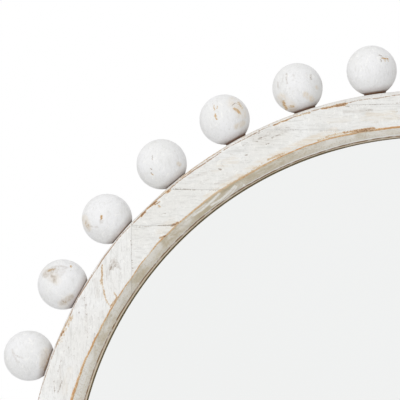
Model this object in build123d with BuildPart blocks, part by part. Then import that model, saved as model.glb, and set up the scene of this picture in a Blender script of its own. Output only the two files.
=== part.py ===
from build123d import *
from math import acos, cos, degrees, radians, sin, sqrt
import os

# Round wall mirror: a flat wooden ring with turned balls seated on its outer wall, a bevel that
# drops to a thin lip, glass behind the lip, a back board, and two hangers with swinging D-rings.
# Lengths are in millimetres. The origin is the middle of the ring, +Z is up, the front faces -Y.

# Ring, cut from a panel of glued boards
ring_outer_radius = 411.0
ring_thickness = 35.0
face_width = 35.3
bevel_width = 10.8
bevel_depth = 15.0
lip_width = 3.2
lip_thickness = 6.0
front_edge_radius = 3.0
back_edge_radius = 1.5
face_edge_radius = 1.0

# Boards of the panel, each measured from the outer edge of the ring or from the seam before it
side_board_width = 107.0
edge_board_width = 17.8
top_board_width = 25.8
outer_block_width = 59.9
middle_block_width = 36.5
shoulder_half_width = 88.0
edge_board_half_length = 88.0

# Glass and back board
glass_thickness = 4.0
glass_edge_cover = 5.0
glass_edge_gap = 0.8
glass_edge_chamfer = 0.5
back_board_thickness = 5.0
back_board_ledge = 14.0
back_board_edge_gap = 0.8

# Balls, set by hand, so each stands a small share of a pitch away from its even place. The shares
# repeat on the other half of the ring, and keep each dowel within one board.
ball_diameter = 50.8
ball_base_diameter = 29.2
ball_count = 34
first_ball_angle = 161.25
ball_drift_shares = (
    -0.020, -0.022, -0.027, -0.008, 0.016, 0.012, 0.048, 0.030, 0.022,
    0.048, 0.026, 0.006, -0.012, -0.018, -0.010, 0.008, -0.014,
)

# Dowels between ring and balls
dowel_diameter = 6.0
dowel_in_ring = 8.0
dowel_in_ball = 17.0
dowel_side_gap = 0.05
dowel_end_gap = 0.6
dowel_chamfer = 0.6

# Pan head screws
screw_head_diameter = 7.0
screw_head_height = 2.2
screw_head_edge_radius = 1.0
screw_shank_diameter = 3.5
screw_recess_length = 3.6
screw_recess_width = 0.9
screw_recess_depth = 1.1
screw_side_gap = 0.05
screw_hole_gap = 0.25
screw_end_gap = 0.8
back_screw_length = 14.0
back_screw_count = 12
hanger_screw_length = 12.0

# Hangers: a strap with an eye rolled round the bar of a D-ring
hanger_angle = 30.0
strap_width = 12.0
strap_length = 28.0
strap_thickness = 1.2
strap_corner_radius = 4.0
strap_screw_rise = 16.0
d_ring_wire = 2.5
d_ring_width = 20.5
d_ring_side = 4.0
d_ring_corner_radius = 2.4
eye_side_gap = 0.05

# How far a cutting body reaches past the surface that it opens
overrun = 1.0

# Radii of the ring's section, from the outside in
face_inner_radius = ring_outer_radius - face_width
bevel_foot_radius = face_inner_radius - bevel_width
sight_radius = bevel_foot_radius - lip_width
glass_radius = sight_radius + glass_edge_cover
glass_rabbet_radius = glass_radius + glass_edge_gap
back_rabbet_radius = glass_rabbet_radius + back_board_ledge
back_board_radius = back_rabbet_radius - back_board_edge_gap

# Places along Y of the ring's section, from the front back
front_y = -ring_thickness / 2
back_y = ring_thickness / 2
bevel_foot_y = front_y + bevel_depth
glass_y = bevel_foot_y + lip_thickness
back_board_y = glass_y + glass_thickness
back_board_outside_y = back_board_y + back_board_thickness

# Seams of the panel
side_seam_x = ring_outer_radius - side_board_width
edge_seam_z = ring_outer_radius - edge_board_width
top_seam_z = edge_seam_z - top_board_width
outer_seam_z = top_seam_z - outer_block_width
middle_seam_z = outer_seam_z - middle_block_width
panel_reach = ring_outer_radius + overrun

# Balls and dowels
ball_radius = ball_diameter / 2
ball_base_radius = ball_base_diameter / 2
ball_seat_distance = sqrt(ball_radius**2 - ball_base_radius**2)
ball_circle_radius = ring_outer_radius + ball_seat_distance
ball_pitch = 360 / ball_count
dowel_radius = dowel_diameter / 2
dowel_hole_radius = dowel_radius + dowel_side_gap
dowel_inner_radius = ring_outer_radius - dowel_in_ring
dowel_length = dowel_in_ring + dowel_in_ball
ball_hole_depth = dowel_in_ball + dowel_end_gap
ring_hole_depth = dowel_in_ring + dowel_end_gap

# Screws
screw_head_radius = screw_head_diameter / 2
screw_shank_radius = screw_shank_diameter / 2
screw_pilot_radius = screw_shank_radius + screw_side_gap
screw_hole_radius = screw_shank_radius + screw_hole_gap
back_screw_circle = (glass_rabbet_radius + back_board_radius) / 2

# Hangers
wire_radius = d_ring_wire / 2
eye_inner_radius = wire_radius + eye_side_gap
eye_outer_radius = eye_inner_radius + strap_thickness
hinge_y = back_y + eye_outer_radius
hanger_circle = (back_rabbet_radius + ring_outer_radius) / 2
hanger_x = hanger_circle * cos(radians(hanger_angle))
hinge_z = hanger_circle * sin(radians(hanger_angle)) - strap_length / 2
strap_screw_z = hinge_z + strap_screw_rise
strap_outside_y = back_y + strap_thickness
bow_radius = d_ring_width / 2 - wire_radius
sides = {"left": -1, "right": 1}


def save(piece, name):
    """Label a finished piece and write it."""
    piece.part.label = name
    export_step(piece.part, f"parts/{name}.step")


def depth_plane(y):
    """An upright plane at depth y, with X and Z as its own directions."""
    return Plane.XZ.offset(-y)


def ball_angle(index):
    """Angle of a ball, in degrees from +X towards +Z."""
    drift = ball_drift_shares[index % len(ball_drift_shares)]
    return first_ball_angle + (drift - index) * ball_pitch


def radial_plane(angle, radius):
    """A plane across the radius at this angle, facing outwards."""
    outwards = Vector(cos(radians(angle)), 0, sin(radians(angle)))
    return Plane(origin=outwards * radius, x_dir=(0, 1, 0), z_dir=outwards)


def section_plane(angle, radius):
    """A plane with its own x outwards along the radius and its own y along +Y."""
    outwards = Vector(cos(radians(angle)), 0, sin(radians(angle)))
    return Plane(origin=outwards * radius, x_dir=outwards, z_dir=outwards.cross(Vector(0, 1, 0)))


def places_on_circle(radius, count):
    """Points (x, z) spread evenly round the middle of the ring."""
    angles = [radians(360 * index / count) for index in range(count)]
    return [(radius * cos(angle), radius * sin(angle)) for angle in angles]


ball_angles = [ball_angle(index) for index in range(ball_count)]
back_screw_places = places_on_circle(back_screw_circle, back_screw_count)
hanger_screw_places = [(side * hanger_x, strap_screw_z) for side in sides.values()]


def ring_section():
    """Half of the ring's section, with radii along x and depths along y."""
    with BuildSketch(Plane.XY) as section:
        with BuildLine():
            Polyline(
                (face_inner_radius, front_y),
                (ring_outer_radius, front_y),
                (ring_outer_radius, back_y),
                (back_rabbet_radius, back_y),
                (back_rabbet_radius, back_board_y),
                (glass_rabbet_radius, back_board_y),
                (glass_rabbet_radius, glass_y),
                (sight_radius, glass_y),
                (sight_radius, bevel_foot_y),
                (bevel_foot_radius, bevel_foot_y),
                close=True,
            )
        make_face()
        outer_corners = section.vertices().group_by(Axis.X)[-1].sort_by(Axis.Y)
        face_corner = section.vertices().group_by(Axis.Y)[0].sort_by(Axis.X)[0]
        fillet(outer_corners[0], front_edge_radius)
        fillet(outer_corners[-1], back_edge_radius)
        fillet(face_corner, face_edge_radius)
    return section.sketch


# The whole ring, before the seams part it into boards
with BuildPart() as ring:
    add(ring_section())
    revolve(axis=Axis.Y)
    with BuildSketch(*[radial_plane(angle, ring_outer_radius + overrun) for angle in ball_angles]):
        Circle(dowel_hole_radius)
    extrude(amount=-(ring_hole_depth + overrun), mode=Mode.SUBTRACT)
    with BuildSketch(depth_plane(back_board_outside_y)):
        with Locations(*back_screw_places):
            Circle(screw_pilot_radius)
    extrude(amount=back_screw_length + screw_end_gap, mode=Mode.SUBTRACT)
    with BuildSketch(depth_plane(strap_outside_y)):
        with Locations(*hanger_screw_places):
            Circle(screw_pilot_radius)
    extrude(amount=hanger_screw_length + screw_end_gap, mode=Mode.SUBTRACT)


def ring_board(name, *spans):
    """One board of the panel: the part of the ring inside its spans (x low, x high, z low, z high)."""
    with BuildPart() as board:
        add(ring.part)
        with BuildSketch(Plane.XZ):
            for x_low, x_high, z_low, z_high in spans:
                with Locations(((x_low + x_high) / 2, (z_low + z_high) / 2)):
                    Rectangle(x_high - x_low, z_high - z_low)
        extrude(amount=ring_thickness, both=True, mode=Mode.INTERSECT)
    save(board, name)


def span(side, x_near, x_far, level, z_near, z_far):
    """A span given by distances from the middle, on one side and one level of the ring."""
    x_ends = sorted((side * x_near, side * x_far))
    z_ends = sorted((level * z_near, level * z_far))
    return (*x_ends, *z_ends)


def make_ring_boards():
    """Side boards, top and bottom boards, and three blocks in each corner."""
    for side_name, side in sides.items():
        upper = span(side, side_seam_x, panel_reach, 1, 0, panel_reach)
        lower = span(side, side_seam_x, panel_reach, -1, 0, panel_reach)
        ring_board(f"frame_{side_name}_board", upper, lower)
    for level_name, level in {"top": 1, "bottom": -1}.items():
        board_spans = []
        edge_spans = []
        for side in sides.values():
            board_spans.append(span(side, 0, panel_reach, level, top_seam_z, edge_seam_z))
            board_spans.append(span(side, 0, shoulder_half_width, level, outer_seam_z, top_seam_z))
            tip = span(side, edge_board_half_length, panel_reach, level, edge_seam_z, panel_reach)
            board_spans.append(tip)
            edge_spans.append(span(side, 0, edge_board_half_length, level, edge_seam_z, panel_reach))
        ring_board(f"frame_{level_name}_board", *board_spans)
        ring_board(f"frame_{level_name}_edge_board", *edge_spans)
        for side_name, side in sides.items():
            corner = f"frame_{level_name}_{side_name}"
            inner = span(side, 0, side_seam_x, level, 0, middle_seam_z)
            middle = span(side, 0, side_seam_x, level, middle_seam_z, outer_seam_z)
            outer = span(side, shoulder_half_width, side_seam_x, level, outer_seam_z, top_seam_z)
            ring_board(f"{corner}_inner_block", inner)
            ring_board(f"{corner}_middle_block", middle)
            ring_board(f"{corner}_outer_block", outer)


def turned_ball(number, angle):
    """A ball with a flat seat and a blind hole for its dowel, turned about the ring's radius."""
    with BuildPart() as ball:
        plane = section_plane(angle, ball_circle_radius)
        hole_end = ball_hole_depth - ball_seat_distance
        with BuildSketch(plane):
            with BuildLine():
                Line((-ball_seat_distance, dowel_hole_radius), (-ball_seat_distance, ball_base_radius))
                CenterArc((0, 0), ball_radius, 0, degrees(acos(-ball_seat_distance / ball_radius)))
                Line((ball_radius, 0), (hole_end, 0))
                Line((hole_end, 0), (hole_end, dowel_hole_radius))
                Line((hole_end, dowel_hole_radius), (-ball_seat_distance, dowel_hole_radius))
            make_face()
        revolve(axis=Axis(plane.origin, plane.x_dir))
    save(ball, f"ball_{number:02d}")


def make_dowels():
    """One dowel for each ball, with eased ends."""
    with BuildPart() as dowels:
        with BuildSketch(*[radial_plane(angle, dowel_inner_radius) for angle in ball_angles]):
            Circle(dowel_radius)
        extrude(amount=dowel_length)
        chamfer(dowels.edges().filter_by(GeomType.CIRCLE), dowel_chamfer)
    save(dowels, "ball_dowels")


def make_glass():
    """The mirror glass, with its sharp edges taken off."""
    with BuildPart() as glass:
        with BuildSketch(depth_plane(glass_y)):
            Circle(glass_radius)
        extrude(amount=-glass_thickness)
        chamfer(glass.edges().filter_by(GeomType.CIRCLE), glass_edge_chamfer)
    save(glass, "mirror_glass")


def make_back_board():
    """The board behind the glass, with a hole for each screw."""
    with BuildPart() as back_board:
        with BuildSketch(depth_plane(back_board_y)):
            Circle(back_board_radius)
            with Locations(*back_screw_places):
                Circle(screw_hole_radius, mode=Mode.SUBTRACT)
        extrude(amount=-back_board_thickness)
    save(back_board, "back_board")


def screws(name, places, seat_y, length):
    """Pan head screws at places (x, z), driven towards the front from a seat at seat_y."""
    with BuildPart() as group:
        with BuildSketch(depth_plane(seat_y)):
            with Locations(*places):
                Circle(screw_head_radius)
        extrude(amount=-screw_head_height)
        rims = group.edges().filter_by(GeomType.CIRCLE).group_by(Axis.Y)[-1]
        fillet(rims, screw_head_edge_radius)
        with BuildSketch(depth_plane(seat_y + screw_head_height)):
            with Locations(*places):
                Rectangle(screw_recess_length, screw_recess_width)
                Rectangle(screw_recess_width, screw_recess_length)
        extrude(amount=screw_recess_depth, mode=Mode.SUBTRACT)
        with BuildSketch(depth_plane(seat_y)):
            with Locations(*places):
                Circle(screw_shank_radius)
        extrude(amount=length)
    save(group, name)


def make_straps():
    """Both hanger straps: a flat plate that runs into an eye, with a screw hole."""
    with BuildPart() as straps:
        for place_x in [side * hanger_x for side in sides.values()]:
            with BuildSketch(Plane.YZ.offset(place_x)):
                with Locations((hinge_y, hinge_z)):
                    Circle(eye_outer_radius)
                with Locations((back_y + strap_thickness / 2, hinge_z + strap_length / 2)):
                    Rectangle(strap_thickness, strap_length)
                with Locations((hinge_y, hinge_z)):
                    Circle(eye_inner_radius, mode=Mode.SUBTRACT)
            extrude(amount=strap_width / 2, both=True)
        strap_ends = straps.edges().filter_by(Axis.Y).group_by(Axis.Z)[-1]
        fillet(strap_ends, strap_corner_radius)
        with BuildSketch(depth_plane(strap_outside_y)):
            with Locations(*hanger_screw_places):
                Circle(screw_hole_radius)
        extrude(amount=strap_thickness, mode=Mode.SUBTRACT)
    save(straps, "hanger_straps")


def d_ring(name, place_x):
    """A D-ring of round wire: a straight bar in the eye, two short sides and a half-round bow."""
    with BuildPart() as loop:
        with BuildLine(depth_plane(hinge_y)) as path:
            corner_x = bow_radius - d_ring_corner_radius
            corner_z = hinge_z - d_ring_corner_radius
            bow_z = hinge_z - d_ring_side
            Line((place_x - corner_x, hinge_z), (place_x + corner_x, hinge_z))
            CenterArc((place_x + corner_x, corner_z), d_ring_corner_radius, 90, -90)
            Line((place_x + bow_radius, corner_z), (place_x + bow_radius, bow_z))
            CenterArc((place_x, bow_z), bow_radius, 0, -180)
            Line((place_x - bow_radius, bow_z), (place_x - bow_radius, corner_z))
            CenterArc((place_x - corner_x, corner_z), d_ring_corner_radius, 180, -90)
        start = path.wire()
        with BuildSketch(Plane(origin=start @ 0, z_dir=start % 0)):
            Circle(wire_radius)
        sweep(path=start)
    save(loop, name)


os.makedirs("parts", exist_ok=True)
make_ring_boards()
for ball_index, angle in enumerate(ball_angles):
    turned_ball(ball_index + 1, angle)
make_dowels()
make_glass()
make_back_board()
screws("back_board_screws", back_screw_places, back_board_outside_y, back_screw_length)
make_straps()
screws("hanger_screws", hanger_screw_places, strap_outside_y, hanger_screw_length)
for side_name, side in sides.items():
    d_ring(f"{side_name}_d_ring", side * hanger_x)
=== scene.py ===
"""Looks of the round wall mirror: white-washed ring of boards, turned balls, glass and hangers."""

import math

import bmesh
import bpy
import numpy as np
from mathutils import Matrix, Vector


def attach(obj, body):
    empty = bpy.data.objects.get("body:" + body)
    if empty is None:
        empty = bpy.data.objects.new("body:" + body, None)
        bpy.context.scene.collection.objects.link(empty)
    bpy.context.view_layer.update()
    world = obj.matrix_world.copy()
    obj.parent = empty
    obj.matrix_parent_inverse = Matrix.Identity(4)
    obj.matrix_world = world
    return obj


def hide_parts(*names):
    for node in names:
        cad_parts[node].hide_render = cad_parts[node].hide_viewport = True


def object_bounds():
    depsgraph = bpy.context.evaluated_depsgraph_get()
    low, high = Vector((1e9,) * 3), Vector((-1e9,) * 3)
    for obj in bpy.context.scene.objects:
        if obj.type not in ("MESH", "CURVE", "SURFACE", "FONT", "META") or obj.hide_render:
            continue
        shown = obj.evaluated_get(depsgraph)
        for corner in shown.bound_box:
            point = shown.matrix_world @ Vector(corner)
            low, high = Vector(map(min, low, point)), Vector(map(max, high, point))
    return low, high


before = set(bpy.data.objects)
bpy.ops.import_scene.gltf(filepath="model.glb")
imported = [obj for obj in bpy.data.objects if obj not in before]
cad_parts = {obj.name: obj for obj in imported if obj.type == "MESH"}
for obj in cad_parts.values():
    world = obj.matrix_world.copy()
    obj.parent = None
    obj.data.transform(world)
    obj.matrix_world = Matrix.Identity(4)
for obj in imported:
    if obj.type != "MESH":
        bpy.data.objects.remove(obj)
cad_low, cad_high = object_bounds()

MM = 0.001
RNG = np.random.default_rng(34)

# Ring, in millimetres, as in the CAD model
RING_OUTER = 411.0
FACE_INNER = 375.7
BEVEL_FOOT = 364.9
SIGHT = 361.0
GLASS_RABBET = 367.5
BACK_RABBET = 381.5
FRONT_Y = -17.5
BACK_Y = 17.5
BEVEL_FOOT_Y = -2.5
GLASS_Y = 3.5
GLASS_BACK_Y = 7.5
GLASS_RADIUS = 366.7

# Seams between the boards of the ring
SIDE_SEAM = 304.0
EDGE_SEAM = 393.2
TOP_SEAM = 367.4
OUTER_SEAM = 307.5
MIDDLE_SEAM = 271.0
SHOULDER = 88.0
EDGE_HALF = 88.0
REACH = 420.0
BLOCK_END = 150.0
SEAM_GAP = 0.14

# Parting the ring: reach of the cutting prisms, margin of each piece's stretch of the ring, and the
# angle from which an edge is sharp
CUTTER_DEPTH = 60.0
MARGIN = math.radians(1.5)
SHARP_ANGLE = math.radians(38)

# Balls, and how far the round form of each reaches inwards from its middle
BALL_RADIUS = 25.4
BALL_CUT = 22.7
BALL_COUNT = 34

# The photograph: the ring's middle in its pixels, millimetres in a pixel, and its size
PHOTO_MIDDLE = (433.0, 494.5)
PHOTO_SCALE = 1.0094
PHOTO_SIZE = 400.0

# How far the camera stands from the ring's middle, and its nearest and furthest view, in metres
CAMERA_DISTANCE = 12.0
CLIP = (0.1, 50.0)

# The face and the fronts of the balls stand nearer to the camera than the middle of the ring
NEARER = 1.0 + FRONT_Y * MM / CAMERA_DISTANCE


def seen(pixel_x, pixel_y):
    """Millimetres (x, z) from the ring's middle of a pixel of the photograph."""
    return (pixel_x - PHOTO_MIDDLE[0]) * PHOTO_SCALE, (PHOTO_MIDDLE[1] - pixel_y) * PHOTO_SCALE


def smooth_step(low, high, value):
    """0 below low, 1 above high and a smooth rise between."""
    share = np.clip((value - low) / (high - low), 0.0, 1.0)
    return share * share * (3.0 - 2.0 * share)


def ripple(angles, count, seed):
    """A smooth wandering value from about -1 to 1 round the circle, with up to count waves."""
    rng = np.random.default_rng(seed)
    total = np.zeros_like(angles)
    for wave in range(1, count + 1):
        total += rng.normal() * np.cos(wave * angles + rng.uniform(0, 2 * math.pi))
    return total / math.sqrt(count)


# Wear of the ring's face. A stroke here and below is its half width in pixels, its strength, and x
# and y of each pixel of the photograph that it runs through.
WEAR_STROKES = (
    # The knot of the left board
    (0.7, 0.7, 102.2, 265, 102, 272, 101.7, 279, 102.6, 286, 103.8, 292, 105, 296.7),
    (0.6, 0.6, 105, 296.7, 107, 302, 110.3, 306), (0.9, 0.6, 101.9, 268, 102, 276),
    (1.4, 0.6, 100.9, 280.8, 101.1, 283.4), (0.9, 0.8, 110.6, 306.5, 114, 302, 117.6, 297.2),
    (0.6, 0.66, 117.5, 298, 115, 294, 114.2, 293),
    # Inner edge at the corner
    (1.1, 1, 172, 225.6, 174.5, 224.3, 178, 222.7), (0.8, 0.94, 160, 237.6, 163, 237, 166, 235.8),
    # Outer edge at the corner
    (1, 1.25, 141.2, 216, 142.8, 213.9, 144.8, 212),
    (0.8, 1.2, 146.9, 208.9, 149.6, 206.8, 154, 203.3, 156.4, 201),
    (0.5, 0.88, 154.6, 204.8, 157, 203.8, 159.6, 201.6), (0.6, 0.9, 158.1, 205.5, 159.9, 207.4),
    (1.2, 0.78, 166.5, 192.5, 168, 191.5, 169.5, 190.3),
    # Outer edge at the top
    (0.6, 0.96, 273.5, 125.6, 279, 122.8, 289, 119.2), (0.6, 0.6, 297, 116, 304, 114.2, 310, 112.6),
    (0.9, 0.92, 322, 108.6, 332, 106.8, 339, 105.2, 347, 103.8),
    (1.3, 1.06, 337, 105.8, 345.5, 104),
    # Outer edge low on the left
    (0.7, 0.5, 58, 344, 61.5, 334, 64.5, 326.5), (0.8, 1, 61.2, 335.5, 63.4, 331),
    (0.7, 0.62, 66, 324, 70, 316.5), (1.3, 0.34, 60.6, 343, 64.3, 333, 68.6, 323.5, 72.5, 315.5),
    (0.6, 0.66, 70.5, 321, 70.5, 318),
    # Inner edge, from the top down to the left
    (1.5, 0.84, 356, 131.2, 364, 130, 374, 128.8), (1.1, 0.98, 360, 130.3, 366, 129.6, 372, 129),
    (0.9, 0.94, 358, 131.7, 366, 130.9, 373, 130.1),
    (0.8, 0.84, 343, 132.4, 350, 131.7, 358, 130.7),
    (0.6, 0.64, 318, 140.6, 326, 137.2, 335, 133.9, 343.3, 132.2, 356, 130.4),
    (1.5, 0.42, 318, 140.5, 330, 136.5, 344, 133.4, 356, 131.6),
    (1, 0.62, 268, 159.6, 276, 156.3, 284, 153.2),
    (1.3, 0.36, 205, 202, 221, 190.5, 238, 178.6, 262, 164),
)

# Faint tan patches under thin paint
STAIN_STROKES = (
    # Face at the top
    (2.4, 0.34, 368, 114.5, 380, 114, 394, 113), (2.8, 0.26, 374, 117, 386, 118, 400, 117),
    (2.2, 0.26, 362, 119, 376, 120.5), (2.5, 0.18, 330, 121, 350, 119),
    # Corner, left board and middle of the arc
    (4, 0.22, 160, 232, 172, 222), (3, 0.16, 70, 370, 64, 392), (4, 0.25, 215, 168, 235, 160),
    # Beside the inner edge
    (3, 0.45, 205, 199, 221, 188, 240, 176, 262, 162, 290, 149),
    (3, 0.5, 290, 149, 312, 139, 335, 131),
)

# The same on the bevel alone
BEVEL_STAIN_STROKES = (
    (5, 0.75, 93, 338, 100, 324, 107, 314), (5, 0.8, 166, 240, 172, 233, 178, 227),
    (5, 0.55, 133, 276, 139, 270), (5, 0.6, 196, 208, 212, 196, 226, 186),
    (5, 0.65, 246, 177, 262, 168, 280, 160), (5, 0.35, 300, 152, 318, 145),
)

# Darker ground behind the painted grain highlights on the bevel
LOOP_GROUND_STROKES = (
    (3.2, 1.15, 190, 213, 204, 202, 220, 191, 238, 181),
    (4.5, 0.6, 176, 232, 196, 217, 214, 204, 232, 195),
)

# Soft grey-brown marks: the rings of the knot and rubbed paint
SMUDGE_STROKES = (
    # The knot
    (0.9, 0.74, 110, 269, 111.4, 265.5, 113.6, 262),
    (0.7, 0.72, 114.2, 261, 116, 263.5, 117.4, 267.5),
    (0.5, 0.5, 112, 265.5, 115.4, 261.8, 118.2, 267.6), (1, 0.5, 112, 269, 115, 265),
    (0.7, 0.4, 110.5, 262, 112, 259.8, 114.5, 260.5),
    (0.6, 0.4, 108.8, 275, 109.8, 269, 112.5, 262, 115, 259.5),
    (0.5, 0.26, 106.4, 280, 107.4, 270, 110.8, 261, 116, 257),
    (0.6, 0.34, 115.2, 259.8, 118.4, 263.5, 120, 269),
    # Patches and streaks along the face
    (4, 0.12, 256, 139, 270, 134, 286, 129.5), (2.5, 0.13, 262, 143, 276, 137),
    (1.3, 0.15, 84.5, 296, 85.5, 312, 87, 334), (1.2, 0.2, 102, 312, 104, 318),
    (1, 0.18, 58, 392, 61, 378, 60, 366), (1.4, 0.14, 75, 308, 79, 304, 82, 298),
    (2, 0.16, 96, 280, 98, 296), (1.2, 0.22, 190, 178, 206, 173), (1.2, 0.18, 216, 184, 232, 178),
    (1.2, 0.2, 344, 112, 372, 110.5),
)

# Dark grey-brown nicks, dots and brush scratches
NICK_STROKES = (
    # The knot
    (0.7, 0.76, 110.4, 269.4, 111.6, 266.8), (0.6, 0.66, 114.8, 265.2, 115.2, 267),
    (0.5, 0.52, 104.4, 264, 104.7, 266),
    # Dots
    (0.8, 0.54, 78.6, 311.8, 79.6, 313), (0.8, 0.52, 85.4, 313.4, 86.4, 314.4),
    (0.6, 0.6, 98, 317, 99.5, 320.5), (0.9, 0.75, 219, 169, 221, 169.5),
    (0.8, 0.65, 245, 155, 247.5, 155), (0.8, 0.54, 266, 144.5, 269, 143.5),
    (0.7, 0.5, 271.5, 144.2, 274, 144.8), (0.5, 0.5, 155, 205, 159, 202.2),
    # Specks
    (0.8, 0.55, 258, 139, 262, 137.5), (0.8, 0.5, 264, 136.5, 270, 134),
    (0.8, 0.5, 272, 138, 280, 134.5), (0.8, 0.5, 256, 134, 262, 131.5),
    (4.5, 0.27, 256, 139, 270, 134, 286, 129.5), (5, 0.21, 84, 296, 86, 312, 90, 330),
    (5, 0.21, 58, 392, 64, 372, 70, 352), (0.6, 0.45, 242, 146, 247, 143),
    # Streaks and scratches
    (0.6, 0.6, 84.5, 297, 84.6, 300), (0.6, 0.55, 85.2, 304, 85.5, 309),
    (0.6, 0.5, 86.8, 330, 87.5, 338), (0.7, 0.55, 58, 392, 62, 381), (0.6, 0.5, 58, 372, 61, 360),
    (0.6, 0.45, 92, 345, 95, 333), (0.6, 0.45, 116, 245, 120, 240), (0.6, 0.5, 54, 381, 54.5, 392),
    (0.5, 0.45, 190, 176, 205, 174), (0.6, 0.45, 250, 136, 262, 131),
    (0.5, 0.4, 300, 120, 318, 116), (0.5, 0.4, 352, 111, 372, 110), (0.5, 0.4, 200, 182, 214, 178),
    (0.5, 0.45, 64, 352, 66, 340), (0.5, 0.4, 73, 360, 74, 346), (0.5, 0.4, 120, 276, 124, 262),
    (0.5, 0.4, 150, 219, 166, 213), (0.6, 0.45, 84, 285, 88, 274),
)

# Paint lines where the boards meet
SEAM_STROKES = (
    (0.5, 0.46, 130.6, 238, 131.6, 256, 133, 273), (0.5, 0.34, 84.5, 296, 85.4, 318, 87, 338),
    (0.5, 0.42, 134, 227.4, 150, 226.4, 175, 225), (0.6, 0.72, 158, 225.8, 172, 225),
    (0.5, 0.46, 173, 188.8, 192, 189.8, 216, 190.8), (0.7, 0.56, 175, 189, 191, 189.6),
    (0.5, 0.44, 274, 129.4, 300, 130.2, 322, 131, 340, 131.7),
    (0.5, 0.46, 346, 106.4, 366, 105, 400, 103.2),
)

# Ends of the grain on the bevel, painted pale as painted highlights where their ridges catch the
# light
GRAIN_HIGHLIGHT_STROKES = (
    (0.9, 1, 219.5, 193.2, 212, 200.5, 202, 209.5, 193, 215.5),
    (0.9, 1, 234.8, 185.8, 229, 192, 221, 199, 211, 205),
    (0.6, 0.9, 236.5, 186.5, 231, 194, 224, 200),
    (0.9, 1, 243.8, 184.6, 243.2, 187.5, 238, 191.5, 232.5, 194),
    (0.7, 0.8, 206, 203.5, 196, 211, 186, 220), (4, 0.5, 150, 257, 158, 247),
    (3, 0.45, 180, 226, 188, 219), (3, 0.4, 330, 139.5, 352, 134.5),
    (3, 0.45, 372, 132.5, 398, 130), (3, 0.35, 86, 366, 90, 356),
)

# Shares of a stroke's half width: it is full inside the first and gone beyond the second
STROKE_FULL = 0.55
STROKE_GONE = 1.7


def gap_to_line(x, z, line):
    """Distance from each point (x, z) to the nearest part of a line through points."""
    nearest = np.full_like(x, np.inf)
    for (ax, az), (bx, bz) in zip(line, line[1:]):
        step_x, step_z = bx - ax, bz - az
        share = ((x - ax) * step_x + (z - az) * step_z) / math.hypot(step_x, step_z) ** 2
        share = np.clip(share, 0.0, 1.0)
        nearest = np.minimum(nearest, np.hypot(x - ax - share * step_x, z - az - share * step_z))
    return nearest


def stroke_field(x, z, strokes):
    """The strongest of these strokes at each point (x, z), in millimetres."""
    field = np.zeros_like(x)
    for half_width, strength, *pixels in strokes:
        points = [seen(*pixel) for pixel in zip(pixels[0::2], pixels[1::2])]
        line = NEARER * np.array(points)
        reach = half_width * PHOTO_SCALE
        gap = gap_to_line(x, z, line)
        inside = 1.0 - smooth_step(STROKE_FULL * reach, STROKE_GONE * reach, gap)
        field = np.maximum(field, strength * inside)
    return field


# The arc of the ring that the photograph shows, in degrees, and how the rest repeats it
SEEN_FROM = 95.0
SEEN_TO = 166.0


def into_seen_arc(x, z):
    """Points moved round the ring into the seen arc, every second arc mirrored."""
    arc = math.radians(SEEN_TO - SEEN_FROM)
    angle = np.arctan2(z, x) - math.radians(SEEN_FROM)
    turns = np.floor(angle / arc)
    share = angle / arc - turns
    share = np.where(turns % 2 == 0, share, 1.0 - share)
    new_angle = math.radians(SEEN_FROM) + share * arc
    radius = np.hypot(x, z)
    return radius * np.cos(new_angle), radius * np.sin(new_angle)


# The hand-cut inner edge of the face: (degrees, millimetres outwards)
INNER_EDGE_WAVE = (
    (97, -3.8), (102, -2.9), (106, -2.4), (110, -2.1), (114, -2.3), (120, -2.9), (124, -2.1),
    (126, -1.6), (130, -1.6), (136, -0.5), (138, -0.1), (144, -1.3), (148, -1.4), (152, -1.2),
    (158, -0.7), (160, 0.2), (165, 0.7),
)

# The outer wall, a little out of round
OUTER_WALL_WAVE = (
    (97, -3.1), (103, -2.8), (107, -2.8), (114, -2.4), (118, -2.3), (124, -2.3), (129, -2.1),
    (134.5, -2.1), (139, -0.9), (144, -0.4), (147, -0.9), (151, -1.0), (156, -1.4), (160.5, -0.9),
    (165, -1.2),
)

# The worn line along the front edge of that wall: (degrees, radius)
OUTER_LINE = (
    (93, 404.2), (98, 403.6), (100.5, 404.4), (103, 403.0), (105.5, 404.2), (108, 405.2),
    (113, 405.4), (115, 406.0), (124, 405.8), (133, 407.0), (136, 406.5), (140, 408.6),
    (144, 409.2), (146.3, 408.4), (148, 408.8), (150, 408.7), (155, 408.1), (160, 408.3),
    (166, 409.0),
)

# The foot of the bevel: (degrees, millimetres outwards)
FOOT_WAVE = ((103, -1.4), (117, -1.2), (131, -0.7), (145, -0.5), (160, -0.4))


def read_table(degrees, table):
    """A table's values at these angles, as one array for each column after the degrees."""
    places, *columns = np.array(table, float).T
    return [np.interp(degrees, places, column) for column in columns]


def in_view(angles, rise, fall):
    """1 where the photograph shows the ring and 0 elsewhere, with a rise and a fall in degrees."""
    degrees = np.degrees(angles) % 360.0
    return smooth_step(*rise, degrees) * (1.0 - smooth_step(*fall, degrees))


def round_table(angles, table, hidden):
    """A table's values where the photograph shows the ring, and hidden elsewhere."""
    blend = in_view(angles, (84.0, 92.0), (168.0, 178.0))
    shown = read_table(np.degrees(angles) % 360.0, table)[0]
    return blend * shown + (1.0 - blend) * hidden


def inner_edge_shift(angles):
    """How far the face's inner edge wanders from its circle, in millimetres."""
    hidden = 1.1 * ripple(angles, 9, seed=5)
    return round_table(angles, INNER_EDGE_WAVE, hidden) + 0.18 * ripple(angles, 90, seed=6)


def outer_wall_shift(angles):
    """How far the outer wall stands from its circle, in millimetres."""
    return round_table(angles, OUTER_WALL_WAVE, -1.4 + 0.4 * ripple(angles, 5, seed=11))


def foot_radius(angles):
    """Radius of the foot of the bevel, in millimetres."""
    shift = round_table(angles, FOOT_WAVE, -0.4 + 0.5 * ripple(angles, 5, seed=14))
    return BEVEL_FOOT + shift + 0.12 * ripple(angles, 60, seed=15)


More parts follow.
